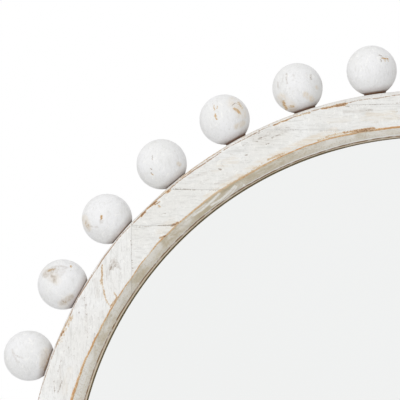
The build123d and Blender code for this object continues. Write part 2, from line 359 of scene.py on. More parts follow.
def outer_line_radius(angles):
    """Radius of the worn line along the outer edge of the face, in millimetres."""
    hidden = 407.2 + 1.1 * ripple(angles, 8, seed=12)
    return round_table(angles, OUTER_LINE, hidden) + 0.25 * ripple(angles, 70, seed=13)


def arc_points(middle_r, middle_y, radius, start, end, count):
    """Points of a round edge of the section, from angle start to end in degrees."""
    turns = np.radians(np.linspace(start, end, count))
    return [(middle_r + radius * math.cos(t), middle_y + radius * math.sin(t)) for t in turns]


def straight(start, end, count):
    """Points strictly between start and end."""
    return list(np.linspace(start, end, count + 2)[1:-1])


# Roundings of the ring's section
FACE_ROUND = 1.3
OUTER_ROUND = 3.0
BACK_ROUND = 1.5
LIP_ROUND = 0.9


def ring_profile():
    """The ring's section as a closed run of points (radius, y)."""
    bevel_low = (BEVEL_FOOT, BEVEL_FOOT_Y)
    bevel_high = (FACE_INNER - 0.6, FRONT_Y + 1.2)
    face_in = (FACE_INNER + FACE_ROUND, FRONT_Y)
    face_out = (RING_OUTER - OUTER_ROUND, FRONT_Y)
    points = [bevel_low, *straight(bevel_low, bevel_high, 20), bevel_high]
    points += [(FACE_INNER - 0.15, FRONT_Y + 0.5), (FACE_INNER + 0.4, FRONT_Y + 0.13), face_in]
    points += straight(face_in, face_out, 40)
    points += arc_points(RING_OUTER - OUTER_ROUND, FRONT_Y + OUTER_ROUND, OUTER_ROUND, -90, 0, 7)
    wall_front = points[-1]
    back_corner = arc_points(RING_OUTER - BACK_ROUND, BACK_Y - BACK_ROUND, BACK_ROUND, 0, 90, 4)
    points += [*straight(wall_front, back_corner[0], 8), *back_corner]
    back_in = (BACK_RABBET, BACK_Y)
    points += [*straight(back_corner[-1], back_in, 5), back_in, (BACK_RABBET, GLASS_BACK_Y)]
    points += [(GLASS_RABBET, GLASS_BACK_Y), (GLASS_RABBET, GLASS_Y), (SIGHT, GLASS_Y)]
    lip = arc_points(SIGHT + LIP_ROUND, BEVEL_FOOT_Y + LIP_ROUND, LIP_ROUND, 180, 270, 4)
    points += [*straight((SIGHT, GLASS_Y), lip[0], 2), *lip, (BEVEL_FOOT - 0.9, BEVEL_FOOT_Y)]
    return np.array(points, float)


PROFILE = ring_profile()
SEGMENTS = 2160

# Marks of the hand tools, in millimetres: where they end on the face, depth and width of the
# plane's cuts and the deepest, and what was nibbled off the outer edge
TOOLED_TO = RING_OUTER - 12.0
PLANE_DEPTH = 0.16
PLANE_WIDTH = 9.0
PLANE_DEEPEST = 0.3
NIBBLE = 0.35


def section_at(angles):
    """Radii and depths of the section at these angles, with the marks of the hand tools."""
    radius, depth = PROFILE.T[:, None, :]
    bevel_share = np.clip((radius - BEVEL_FOOT) / (FACE_INNER - BEVEL_FOOT), 0.0, 1.0)
    face_share = np.clip((TOOLED_TO - radius) / (TOOLED_TO - FACE_INNER), 0.0, 1.0)
    front = depth < BEVEL_FOOT_Y + 0.01
    moves = np.where(front & (radius >= BEVEL_FOOT), np.minimum(bevel_share, face_share), 0.0)
    radius = radius + moves * inner_edge_shift(angles)[:, None]
    planed = PLANE_DEPTH * ripple(angles, 40, seed=8)[:, None]
    planed = planed * np.cos((radius - FACE_INNER) / PLANE_WIDTH)
    depth = depth + np.where(front, np.maximum(planed, -PLANE_DEEPEST) * face_share, 0.0)
    edge = np.clip((radius - (RING_OUTER - OUTER_ROUND)) / OUTER_ROUND, 0.0, 1.0)
    near_front = np.clip((FRONT_Y + 4.0 - depth) / 4.0, 0.0, 1.0)
    nibble = np.maximum(NIBBLE * (1.0 + ripple(angles, 160, seed=9)), 0.0)
    radius = radius - edge * near_front * nibble[:, None]
    wall = smooth_step(RING_OUTER - 12.0, RING_OUTER - 3.5, PROFILE[None, :, 0])
    return radius + wall * outer_wall_shift(angles)[:, None], depth


def band_faces(near, far, count):
    """Faces between two closed rows of points, given by the first point of each."""
    pairs = [(index, (index + 1) % count) for index in range(count)]
    return [(near + a, far + a, far + b, near + b) for a, b in pairs]


def sector(start, end):
    """Vertices and faces of the ring between two angles, in millimetres, closed at its ends."""
    step = 2 * math.pi / SEGMENTS
    angles = np.arange(math.floor(start / step), math.ceil(end / step) + 1) * step
    radius, depth = section_at(angles)
    x = radius * np.cos(angles)[:, None]
    z = radius * np.sin(angles)[:, None]
    vertices = np.stack([x, depth, z], axis=-1).reshape(-1, 3)
    count = len(PROFILE)
    faces = []
    for row in range(len(angles) - 1):
        faces += band_faces(row * count, (row + 1) * count, count)
    faces.append(tuple(range(count)))
    faces.append(tuple(reversed(range(len(vertices) - count, len(vertices)))))
    return vertices, faces


def new_object(name, data):
    """A new object in the scene."""
    obj = bpy.data.objects.new(name, data)
    bpy.context.scene.collection.objects.link(obj)
    return obj


def make_object(name, vertices, faces, smooth=True):
    """A mesh object from points in millimetres."""
    mesh = bpy.data.meshes.new(name)
    mesh.from_pydata((np.asarray(vertices, float) * MM).tolist(), [], faces)
    mesh.update()
    work = bmesh.new()
    work.from_mesh(mesh)
    bmesh.ops.recalc_face_normals(work, faces=work.faces)
    work.to_mesh(mesh)
    work.free()
    if smooth:
        mesh.shade_smooth()
    return new_object(name, mesh)


def inset(outline, distance):
    """An outline of upright and level edges, drawn in by a distance."""
    points = np.array(outline)
    following = np.roll(points, -1, axis=0)
    if (points[:, 0] * following[:, 1] - following[:, 0] * points[:, 1]).sum() < 0:
        return inset(outline[::-1], distance)
    along = following - points
    along /= np.linalg.norm(along, axis=1)[:, None]
    inwards = distance * np.stack([-along[:, 1], along[:, 0]], axis=1)
    return points + inwards + np.roll(inwards, 1, axis=0)


def cutter(outline):
    """A prism over an outline in X and Z, for parting the ring."""
    count = len(outline)
    vertices = [(x, y, z) for y in (-CUTTER_DEPTH, CUTTER_DEPTH) for x, z in outline]
    faces = [tuple(range(count)), tuple(reversed(range(count, 2 * count)))]
    return make_object("cutter", vertices, faces + band_faces(0, count, count), smooth=False)


def angular_range(outline):
    """The angles of the ring that an outline covers, with a margin, in radians."""
    grid = np.radians(np.arange(0.0, 720.0, 0.25))
    low_x, low_z = np.min(outline, axis=0)
    high_x, high_z = np.max(outline, axis=0)
    radius = np.linspace(SIGHT, RING_OUTER, 30)[:, None]
    x = radius * np.cos(grid)
    z = radius * np.sin(grid)
    inside = ((x > low_x) & (x < high_x) & (z > low_z) & (z < high_z)).any(axis=0)
    runs = np.flatnonzero(np.diff(np.concatenate(([0], inside.astype(int), [0]))))
    starts, ends = runs[0::2], runs[1::2]
    longest = int(np.argmax(ends - starts))
    if starts[longest] == 0:
        longest = 1
    return grid[starts[longest]] - MARGIN, grid[min(ends[longest], len(grid) - 1)] + MARGIN


def part_from_ring(name, outline):
    """The piece of the ring inside an outline."""
    body = make_object(name, *sector(*angular_range(outline)))
    tool = cutter(inset(outline, SEAM_GAP / 2))
    boolean = body.modifiers.new("seams", "BOOLEAN")
    boolean.operation = "INTERSECT"
    boolean.solver = "MANIFOLD"
    boolean.object = tool
    bpy.context.view_layer.update()
    graph = bpy.context.evaluated_depsgraph_get()
    mesh = bpy.data.meshes.new_from_object(body.evaluated_get(graph))
    body.modifiers.clear()
    uncut = body.data
    body.data = mesh
    bpy.data.meshes.remove(uncut)
    bpy.data.objects.remove(tool)
    mesh.name = name
    mesh.shade_smooth()
    mesh.set_sharp_from_angle(angle=SHARP_ANGLE)
    return body


def points_of(obj):
    """An object's vertices in millimetres."""
    flat = np.empty(len(obj.data.vertices) * 3, np.float32)
    obj.data.vertices.foreach_get("co", flat)
    return flat.reshape(-1, 3).astype(float) / MM


def set_numbers(obj, **numbers):
    """Numbers at each vertex, for the materials."""
    count = len(obj.data.vertices)
    for name, values in numbers.items():
        attribute = obj.data.attributes.new(name, "FLOAT", "POINT")
        attribute.data.foreach_set("value", np.full(count, values, np.float32))


def set_vector(obj, name, values):
    """A vector at each vertex, for the materials."""
    attribute = obj.data.attributes.new(name, "FLOAT_VECTOR", "POINT")
    attribute.data.foreach_set("vector", np.asarray(values, np.float32).ravel())


def edge_band(gap, half_width):
    """1 on a line and 0 away from it, fading over its half width."""
    return np.exp(-((gap / half_width) ** 2))


# The worn inner edge of the face: (degrees, half width in millimetres, strength)
INNER_WEAR = (
    (95, 0.7, 0.86), (98, 0.9, 0.88), (101.5, 1.0, 0.9), (105, 0.7, 0.66), (109, 0.5, 0.72),
    (114, 0.6, 0.64), (118, 0.9, 0.64), (122, 1.0, 0.64), (126, 1.0, 0.64), (130, 0.7, 0.6),
    (134, 0.6, 0.66), (137, 0.7, 0.66), (140, 0.5, 0.62), (146, 0.5, 0.68), (150, 0.6, 0.68),
    (154, 0.8, 0.7), (158, 0.9, 0.72), (162, 1.1, 0.76), (166, 1.2, 0.78),
)

# The same for the line along the outer edge
OUTER_WEAR = (
    (95, 0.5, 0.5), (101, 0.5, 0.52), (103, 0.7, 0.7), (106, 0.6, 0.66), (107.5, 0.5, 0.5),
    (110.5, 0.5, 0.56), (112, 0.7, 0.7), (114, 0.5, 0.56), (119, 0.5, 0.54), (122, 0.5, 0.62),
    (124, 0.6, 0.72), (130.5, 0.6, 0.72), (132, 0.5, 0.64), (134, 0.7, 0.8), (137, 0.6, 0.72),
    (138.5, 0.4, 0.42), (142, 0.5, 0.6), (146, 0.7, 0.74), (150, 0.6, 0.7), (153, 0.5, 0.66),
    (155, 0.8, 0.74), (158, 0.6, 0.68), (160, 0.5, 0.56), (166, 0.5, 0.64),
)

# The second line, on the rim beside it, how strongly the wood glows through the paint under the
# inner edge, and how far old dirt darkens the bevel: (degrees, share)
RIM_WEAR = (
    (95, 0), (104, 0.3), (112, 0.35), (120, 0.35), (123, 0.6), (130, 0.6), (133, 0.2), (166, 0.1),
)
UNDER_EDGE = (
    (95, 0.45), (108, 0.5), (112, 0.85), (132, 0.85), (137, 0.45), (142, 0.2), (166, 0.1),
)
BEVEL_TONE = ((95, 0.1), (108, 0.15), (114, 0.5), (134, 0.75), (140, 0.35), (150, 0.15), (166, 0))

# A distance from a line or an edge at which a material shows nothing of it
AWAY = 9.0


def paint_ring_part(obj, outline):
    """Wear, stain and dirt of a piece of the ring, and its painted shade and highlights, at its
    vertices.
    """
    x, y, z = points_of(obj).T
    angles = np.arctan2(z, x)
    radius = np.hypot(x, z)
    seen_x, seen_z = into_seen_arc(x, z)
    degrees = np.degrees(np.arctan2(seen_z, seen_x))
    edge_radius = FACE_INNER + inner_edge_shift(angles)
    line_radius = outer_line_radius(angles)
    on_face = y < FRONT_Y + 3.5
    in_front = y < GLASS_Y - 1.0
    on_bevel = in_front & (radius < edge_radius - 0.3) & (radius > BEVEL_FOOT + 0.1)

    def marks(strokes):
        return stroke_field(seen_x, seen_z, strokes)

    shown = in_view(angles, (88.0, 93.0), (167.0, 172.0))
    seam_band = edge_band(gap_to_line(x, z, [*outline, outline[0]]), 0.7)
    real_seam = seam_band * (0.5 + 0.2 * ripple(angles * 3, 80, seed=24))
    seam = np.maximum(marks(SEAM_STROKES) * shown, real_seam * (1.0 - 0.75 * shown))

    inner_width, inner_strength = read_table(degrees, INNER_WEAR)
    inner_gap = (radius - edge_radius - 0.1) / inner_width
    outer_width, outer_strength = read_table(degrees, OUTER_WEAR)
    outer_gap = (radius - line_radius) / outer_width
    rim = read_table(degrees, RIM_WEAR)[0] * (1.0 + 0.3 * ripple(angles, 80, seed=25))
    rim_gap = np.hypot(radius - (RING_OUTER + outer_wall_shift(angles) - 0.9), y - (FRONT_Y + 1.1))
    wear = np.maximum(marks(WEAR_STROKES) * in_front, rim * edge_band(rim_gap, 1.0))

    on_front = y < BEVEL_FOOT_Y - 5.0
    under_gap = edge_radius - radius
    glow = smooth_step(-1.8, 0.4, under_gap) * (1.0 - smooth_step(1.2, 5.5, under_gap)) * on_front
    stain = np.maximum(marks(STAIN_STROKES) * in_front, read_table(degrees, UNDER_EDGE)[0] * glow)
    tone = np.maximum(read_table(degrees, BEVEL_TONE)[0], marks(LOOP_GROUND_STROKES))
    # Painted shade on the rounded outer edge beyond the worn line
    on_rim = smooth_step(0.2, 1.6, radius - line_radius) * (y < FRONT_Y + 7.0)
    # The line of painted shade along the glass runs thinner at the top of the seen arc
    thin_dark = 0.6 * (1.0 - smooth_step(102.0, 108.0, degrees))

    set_numbers(
        obj,
        inner_gap=np.where(on_front, inner_gap, AWAY),
        inner_wear=inner_strength * (0.96 + 0.12 * ripple(angles, 90, seed=21)),
        outer_gap=np.where(y < FRONT_Y + 5.0, outer_gap, AWAY),
        outer_wear=outer_strength * (0.92 + 0.16 * ripple(angles, 80, seed=22)),
        wear=wear,
        stain=np.maximum(stain, marks(BEVEL_STAIN_STROKES) * on_bevel),
        nick=marks(NICK_STROKES) * on_face,
        seam=seam * on_face,
        # Painted highlight on the raised grain ends of the bevel
        pale=marks(GRAIN_HIGHLIGHT_STROKES) * on_bevel,
        smudge=marks(SMUDGE_STROKES) * on_face,
        tone=tone * on_bevel,
        # Where the bevel's own colours go, with their painted light and shade
        shade=on_bevel,
        # Painted shade on the rounded outer rim
        grime=0.11 * on_rim,
        bare=(radius < BACK_RABBET + 0.5) & (y > GLASS_Y - 0.2),
        lip=np.where(in_front, radius - foot_radius(angles), AWAY),
        # Distance from the lip's inner edge, for the painted shade along the glass
        sight=np.where(in_front, radius - SIGHT + thin_dark, AWAY),
    )
    around = (angles + 2.5 * math.pi) % (2 * math.pi)
    ring_way = np.stack([around * RING_OUTER, radius, y], axis=1)
    set_vector(obj, "round_the_ring", ring_way * MM)


class Nodes:
    """Short ways of adding nodes to the tree of a material or world."""

    def __init__(self, owner):
        owner.use_nodes = True
        self.tree = owner.node_tree
        self.tree.nodes.clear()

    def feed(self, node, inputs):
        """Sets a node's inputs to values, or links them to sockets."""
        for name, value in inputs.items():
            if isinstance(value, bpy.types.NodeSocket):
                self.tree.links.new(value, node.inputs[name])
            else:
                node.inputs[name].default_value = value

    def add(self, kind, inputs, **settings):
        """A new node with its settings and inputs, as its outputs."""
        node = self.tree.nodes.new(f"ShaderNode{kind}")
        for name, value in settings.items():
            setattr(node, name, value)
        self.feed(node, inputs)
        return node.outputs

    def math(self, operation, first, second):
        return self.add("Math", {0: first, 1: second}, operation=operation)[0]

    def plus(self, first, second):
        return self.math("ADD", first, second)

    def times(self, first, second):
        return self.math("MULTIPLY", first, second)

    def swing(self, value, size):
        """How far a noise is from its middle, times a size."""
        return self.times(self.math("SUBTRACT", value, 0.5), size)

    def attribute(self, name, output="Fac"):
        return self.add("Attribute", {}, attribute_name=name)[output]

    def place(self, scale=(1.0, 1.0, 1.0), vector=None):
        """A vector, or else the place in metres, times a scale along each axis."""
        if vector is None:
            vector = self.add("TexCoord", {})["Object"]
        return self.add("Mapping", {"Vector": vector, "Scale": scale})["Vector"]

    def noise(self, vector, scale, detail, roughness=0.55, distortion=0.0):
        inputs = {"Vector": vector, "Scale": scale, "Detail": detail}
        inputs |= {"Roughness": roughness, "Distortion": distortion}
        return self.add("TexNoise", inputs)["Fac"]

    def span(self, value, low, high, to_low=0.0, to_high=1.0):
        """Maps low..high to to_low..to_high with a smooth rise."""
        inputs = {"Value": value, "From Min": low, "From Max": high}
        inputs |= {"To Min": to_low, "To Max": to_high}
        return self.add("MapRange", inputs, interpolation_type="SMOOTHSTEP")["Result"]

    def mix(self, share, first, second):
        return self.add("Mix", {0: share, 6: first, 7: second}, data_type="RGBA")[2]

    def layer(self, under, over, value, low, high, most=1.0):
        """A colour over another: none of it where the value is low, and most where it is high."""
        return self.mix(self.span(value, low, high, 0.0, most), under, over)


class Material(Nodes):
    """The nodes of a new material with one principled shader."""

    def __init__(self, name):
        self.material = bpy.data.materials.new(name)
        super().__init__(self.material)
        self.shader = self.tree.nodes.new("ShaderNodeBsdfPrincipled")
        self.add("OutputMaterial", {"Surface": self.shader.outputs[0]})

    def finish(self, colour, roughness, bump=None, **others):
        """Sets the shader, with a bump given as height, strength and distance in metres."""
        others |= {"Base Color": colour, "Roughness": roughness}
        if bump:
            inputs = dict(zip(("Height", "Strength", "Distance"), bump))
            others["Normal"] = self.add("Bump", inputs)["Normal"]
        self.feed(self.shader, others)
        return self.material


def rgb(red, green, blue):
    """A colour given as the eye reads it, 0 to 255, as the linear colour of a socket."""
    linear = []
    for value in (red, green, blue):
        share = value / 255.0
        linear.append(share / 12.92 if share <= 0.04045 else ((share + 0.055) / 1.055) ** 2.4)
    return (*linear, 1.0)


GREY_WASH = rgb(205, 204, 200)
TAN = rgb(221, 205, 180)
# Painted light on the bevel: a white lighter than the face's, shaded towards its foot
BEVEL_LIT = rgb(246, 244, 239)
BEVEL_SHADED = rgb(230, 226, 215)
BEVEL_TAN = rgb(196, 182, 152)
BEVEL_GREY = rgb(208, 208, 200)
# Pale paint, and the painted highlight on the raised grain ends of the bevel
PALE_AND_HIGHLIGHT = rgb(254, 253, 249)
WOOD_TAN = rgb(222, 196, 160)
WOOD_ORANGE = rgb(206, 156, 106)
WOOD_BROWN = rgb(148, 114, 84)
RUBBED_TAN = rgb(214, 196, 170)
RUBBED_BROWN = rgb(190, 156, 122)
BALL_RUBBED = rgb(200, 160, 114)
NICK_BROWN = rgb(152, 138, 124)
LINE_BROWN = rgb(166, 138, 112)
SEAM_GREY = rgb(168, 158, 146)
SMUDGE_GREY = rgb(150, 132, 112)
LIP_LIGHT = rgb(200, 188, 169)
LIP_BROWN = rgb(132, 106, 76)
# Painted shade of the narrow gap where the lip meets the glass
GAP_SHADE = rgb(92, 80, 50)
SHADE_AND_GRIME = rgb(122, 84, 54)
BARE_LIGHT = rgb(214, 176, 130)
BARE_DARK = rgb(186, 142, 96)
SILVER = rgb(239, 240, 239)
SILVER_LIGHT = rgb(242, 243, 243)
FIBRE_LIGHT = rgb(176, 140, 104)
FIBRE_DARK = rgb(142, 106, 74)
FIBRE_CLOUD = rgb(122, 92, 66)
DOWEL_LIGHT = rgb(214, 180, 136)
DOWEL_DARK = rgb(186, 146, 100)
SCREW_ZINC = (rgb(206, 204, 196), rgb(184, 182, 176))
STRAP_ZINC = (rgb(210, 206, 192), rgb(190, 184, 168))
FLOOR_WHITE = rgb(244, 244, 244)
PURE_WHITE = (1.0, 1.0, 1.0, 1.0)

# By the way that the grain runs: stretch of its noise along each axis, white and warmer white
GRAINS = {
    "x": ((1.0, 7.0, 7.0), rgb(234, 234, 232), rgb(230, 229, 225)),
    "z": ((7.0, 7.0, 1.0), rgb(238, 238, 237), rgb(233, 232, 229)),
    "round": ((5.0, 5.0, 2.0), rgb(236, 236, 237), rgb(231, 231, 230)),
}


def whitewash(name, grain):
    """Thin white paint over wood, worn through where the vertices say so, with painted light and
    shade where they say so too.
    """
    n = Material(name)
    scale, white, warm_white = GRAINS[grain]
    on_ball = grain == "round"
    boldness = 0.52 if on_ball else 1.0
    stretched = n.place(scale)
    even = n.place()
    clouds = n.noise(even, 24.0, 4.0)
    streaks = n.noise(stretched, 46.0, 5.0, 0.68, 0.4)
    brush = n.noise(n.place((2.2, 1.0, 1.6)), 120.0, 4.0, 0.7, 1.2)
    fine = n.noise(stretched, 120.0, 4.0, 0.72)
    specks = n.noise(even, 620.0, 3.0, 0.6)
    broad = n.noise(even, 70.0, 3.0)

    colour = n.layer(white, warm_white, clouds, 0.35, 0.68)
    colour = n.layer(colour, GREY_WASH, streaks, 0.5, 0.68, 0.5 * boldness)
    colour = n.layer(colour, GREY_WASH, fine, 0.53, 0.68, 0.6 * boldness)
    colour = n.layer(colour, GREY_WASH, brush, 0.55, 0.68, 0.42 * boldness)
    colour = n.layer(colour, PALE_AND_HIGHLIGHT, brush, 0.46, 0.34, 0.4)
    thin_spots = n.span(streaks, 0.4, 0.58, 0.4 if on_ball else 0.1, 1.0)
    stain = n.times(n.attribute("stain"), thin_spots)

    lip = n.attribute("lip")
    ring_way = n.attribute("round_the_ring", "Vector")
    mottle = n.noise(n.place((1.0, 1.6, 1.6), ring_way), 42.0, 4.0, 0.6)
    hatch = n.noise(n.place((1.0, 0.45, 0.45), ring_way), 560.0, 3.0, 0.65)
    swirl = n.noise(n.place((1.0, 3.2, 3.2), ring_way), 110.0, 4.0, 0.6, 0.8)
    # Painted light and shade: the bevel lighter than the face near its top, and painted shade
    # towards its foot
    bevel = n.layer(BEVEL_LIT, BEVEL_SHADED, lip, 8.0, 1.0)
    bevel = n.layer(bevel, BEVEL_TAN, mottle, 0.48, 0.68, 0.5)
    bevel = n.layer(bevel, BEVEL_GREY, swirl, 0.52, 0.66, 0.35)
    bevel = n.layer(bevel, BEVEL_TAN, hatch, 0.48, 0.64, 0.36)
    tone = n.times(n.attribute("tone"), n.span(mottle, 0.34, 0.6, 0.35, 1.0))
    bevel = n.mix(n.times(tone, 0.85), bevel, BEVEL_TAN)
    bevel = n.mix(n.times(stain, 0.8), bevel, BEVEL_TAN)
    # Painted highlight: raised grain ends on the bevel, as if catching the light
    pale_paint = n.times(n.attribute("pale"), n.span(fine, 0.35, 0.65, 1.0, 0.6))
    bevel = n.mix(pale_paint, bevel, PALE_AND_HIGHLIGHT)
    colour = n.mix(stain, colour, TAN)
    colour = n.mix(n.attribute("shade"), colour, bevel)

    rough = n.plus(n.swing(fine, 1.0), n.swing(specks, 1.0))
    sway = n.swing(broad, 2.4)

    def worn_line(gap_name, wear_name):
        gap = n.math("ABSOLUTE", n.plus(n.attribute(gap_name), sway), 0.0)
        return n.times(n.span(gap, 0.6, 1.8, 1.0, 0.0), n.attribute(wear_name))

    ragged = n.plus(n.times(rough, 0.8), 1.0)
    wear = n.plus(n.times(n.attribute("wear"), ragged), rough)
    inner_line = n.plus(worn_line("inner_gap", "inner_wear"), rough)
    edge_line = n.plus(worn_line("outer_gap", "outer_wear"), n.times(rough, 0.9))
    colour = n.layer(colour, LINE_BROWN, edge_line, 0.3, 0.66, 0.9)
    colour = n.layer(colour, WOOD_TAN, inner_line, 0.26, 0.5)
    colour = n.layer(colour, WOOD_ORANGE, inner_line, 0.52, 0.8)
    colour = n.layer(colour, RUBBED_TAN, wear, 0.26, 0.5)
    colour = n.layer(colour, BALL_RUBBED if on_ball else RUBBED_BROWN, wear, 0.52, 0.8)
    colour = n.layer(colour, WOOD_BROWN, wear, 0.84, 1.12)
    worn = n.span(n.math("MAXIMUM", wear, inner_line), 0.26, 0.6)

    smudge = n.times(n.attribute("smudge"), n.span(fine, 0.4, 0.6, 0.45, 1.0))
    colour = n.mix(smudge, colour, SMUDGE_GREY)
    nick = n.plus(n.attribute("nick"), rough)
    colour = n.layer(colour, NICK_BROWN, nick, 0.34, 0.66, 0.8)
    seam = n.attribute("seam")
    colour = n.layer(colour, SEAM_GREY, n.plus(seam, n.times(rough, 1.3)), 0.32, 0.66, 0.85)

    lip_sway = n.plus(lip, n.swing(broad, 0.8))
    broken = n.span(swirl, 0.36, 0.56, 0.55, 1.0)
    colour = n.mix(n.times(n.span(lip_sway, 0.7, 0.3), broken), colour, LIP_BROWN)
    colour = n.layer(colour, LIP_LIGHT, lip_sway, -0.6, -1.0)
    # Painted shade: a dark line on the lip's inner edge, where it meets the glass
    sight_sway = n.plus(n.attribute("sight"), n.swing(broad, 0.8))
    colour = n.layer(colour, GAP_SHADE, sight_sway, 1.6, 1.1)
    # Painted shade and grime: a brown darkening of the rounded outer rim and of the balls towards
    # their seats
    colour = n.mix(n.attribute("grime"), colour, SHADE_AND_GRIME)
    bare_wood = n.layer(BARE_LIGHT, BARE_DARK, streaks, 0.38, 0.66)
    colour = n.mix(n.attribute("bare"), colour, bare_wood)

    height = n.plus(n.times(fine, 0.6), n.times(streaks, 0.5))
    height = n.plus(height, n.times(brush, 0.4))
    height = n.math("SUBTRACT", height, n.times(worn, 0.5))
    height = n.math("SUBTRACT", height, n.times(seam, 0.5))
    roughness = n.span(worn, 0.0, 1.0, 0.62, 0.78)
    return n.finish(colour, roughness, (height, 0.35, 0.0006), **{"Specular IOR Level": 0.3})


def mirror_silver():
    """Silvered glass: a clean reflection, a little greyer than the room."""
    n = Material("mirror_silver")
    haze = n.noise(n.place(), 3.0, 2.0)
    return n.finish(n.mix(haze, SILVER, SILVER_LIGHT), 0.02, Metallic=1.0)


def fibreboard():
    """Brown pressed fibre with short flecks."""
    n = Material("fibreboard_brown")
    fibres = n.noise(n.place((1.0, 1.0, 2.4)), 420.0, 4.0, 0.7, 0.6)
    clouds = n.noise(n.place(), 14.0, 3.0)
    colour = n.layer(FIBRE_LIGHT, FIBRE_DARK, fibres, 0.35, 0.7)
    colour = n.layer(colour, FIBRE_CLOUD, clouds, 0.35, 0.75, 0.35)
    return n.finish(colour, 0.82, (fibres, 0.3, 0.0003))


def bare_dowel():
    """Bare hardwood with a fine grain."""
    n = Material("dowel_beech")
    grain = n.noise(n.place((1.0, 6.0, 1.0)), 160.0, 4.0, 0.6)
    colour = n.layer(DOWEL_LIGHT, DOWEL_DARK, grain, 0.35, 0.7)
    return n.finish(colour, 0.7, (grain, 0.2, 0.0002))


def zinc(name, light, dark):
    """Bright zinc plating, with the faint cloudy grain of the bath."""
    n = Material(name)
    grain = n.noise(n.place(), 900.0, 3.0, 0.6)
    clouds = n.noise(n.place(), 180.0, 3.0)
    colour = n.layer(light, dark, clouds, 0.3, 0.7)
    roughness = n.span(grain, 0.3, 0.7, 0.28, 0.42)
    return n.finish(colour, roughness, (grain, 0.12, 0.0001), Metallic=1.0)


def mirrored(outline, side, level):
    """An outline on one of the two sides and levels of the ring."""
    return [(side * x, level * z) for x, z in outline]


def rectangle(x_low, x_high, z_low, z_high):
    """The corners of a rectangle in X and Z."""
    return [(x_low, z_low), (x_high, z_low), (x_high, z_high), (x_low, z_high)]


def board_outlines():
    """Outline and grain of every board of the ring, by its node's name."""
    sides = {"left": -1, "right": 1}
    upright = rectangle(SIDE_SEAM, REACH, -REACH, REACH)
    boards = {f"frame_{name}_board": (mirrored(upright, sides[name], 1), "z") for name in sides}
    top = [
        (-REACH, TOP_SEAM), (-SHOULDER, TOP_SEAM), (-SHOULDER, OUTER_SEAM), (SHOULDER, OUTER_SEAM),
        (SHOULDER, TOP_SEAM), (REACH, TOP_SEAM), (REACH, REACH), (EDGE_HALF, REACH),
        (EDGE_HALF, EDGE_SEAM), (-EDGE_HALF, EDGE_SEAM), (-EDGE_HALF, REACH), (-REACH, REACH),
    ]
    edge = rectangle(-EDGE_HALF, EDGE_HALF, EDGE_SEAM, REACH)
    blocks = {
        "inner": rectangle(BLOCK_END, SIDE_SEAM, BLOCK_END, MIDDLE_SEAM),
        "middle": rectangle(BLOCK_END, SIDE_SEAM, MIDDLE_SEAM, OUTER_SEAM),
        "outer": rectangle(SHOULDER, SIDE_SEAM, OUTER_SEAM, TOP_SEAM),
    }
    for level_name, level in (("top", 1), ("bottom", -1)):
        boards[f"frame_{level_name}_board"] = (mirrored(top, 1, level), "x")
        boards[f"frame_{level_name}_edge_board"] = (mirrored(edge, 1, level), "x")
        for side_name, side in sides.items():
            for block, outline in blocks.items():
                node = f"frame_{level_name}_{side_name}_{block}_block"
                boards[node] = (mirrored(outline, side, level), "x")
    return boards


def coat(obj, material):
    """Gives an object its one material."""
    obj.data.materials.clear()
    obj.data.materials.append(material)


def dress(obj, node, material, body="mirror"):
    """Puts a piece in the place of a CAD node."""
    coat(obj, material)
    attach(obj, body)
    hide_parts(node)


def make_ring(upright_paint, level_paint):
    """Every board of the ring."""
    for node, (outline, grain) in board_outlines().items():
        piece = part_from_ring(f"{node}_worn", outline)
        paint_ring_part(piece, outline)
        dress(piece, node, upright_paint if grain == "z" else level_paint)


# Marks on the seven balls in view: strokes through pixels of the photograph
BALL_WEAR = (
    (0.5, 0.52, 49.7, 353.8, 46.9, 362.3, 43.9, 370.8),
    (1.1, 0.62, 48.6, 270.6, 51, 269.8, 54, 269), (0.8, 0.85, 70.8, 266, 71.4, 266.5),
    (1.6, 0.28, 64, 302, 69, 298), (0.5, 0.5, 128.1, 224.5, 122.4, 231.4, 116.5, 238.3),
    (0.9, 1, 101.3, 216.5, 101.6, 219), (2.2, 0.36, 86, 223.5, 88, 226.5),
    (0.6, 0.76, 151.8, 173.6, 152.5, 174.7), (0.6, 0.64, 214.2, 105, 214.4, 110.6),
    (0.8, 0.78, 214.9, 114.3, 216.7, 119.6), (0.7, 0.64, 217.2, 106.6, 217.4, 108.4),
    (1.9, 0.42, 238.5, 103.6, 241.5, 107), (1.3, 0.66, 234, 108.4, 236.5, 109.6, 240, 113.2),
    (0.5, 0.5, 227.8, 144.6, 236.6, 139.6, 245.2, 134.4),
    (1.5, 0.66, 283.4, 101.5, 284.4, 105, 286.4, 108.5), (1.2, 0.46, 289.5, 106.3, 294, 106.6),
    (0.7, 0.72, 294.6, 113, 304.7, 109.9, 315, 106.6),
    (0.45, 1.05, 382, 58.3, 385, 58.4, 388.6, 59), (0.45, 0.8, 384.9, 58.8, 385.2, 61.2),
    (0.5, 0.62, 387.8, 60, 388.3, 60.7), (0.8, 0.9, 364.6, 94.9, 375.2, 93.4, 385.6, 91.9),
)
BALL_STAIN = (
    (1.7, 0.55, 178.8, 163.6, 179.4, 164.4), (2.4, 0.46, 236.5, 127, 240, 125, 243.5, 123),
    (5, 0.4, 233, 102, 242, 113), (2.6, 0.62, 305.5, 95, 309, 97, 311.5, 99),
    (1.3, 0.6, 316.8, 86.6, 317.4, 88), (4, 0.45, 281, 98, 292, 107), (3, 0.4, 84, 218, 88, 228),
    (4, 0.26, 46, 272, 57, 280), (3.5, 0.36, 62, 304, 70, 297), (4, 0.35, 46, 352, 44, 365),
)
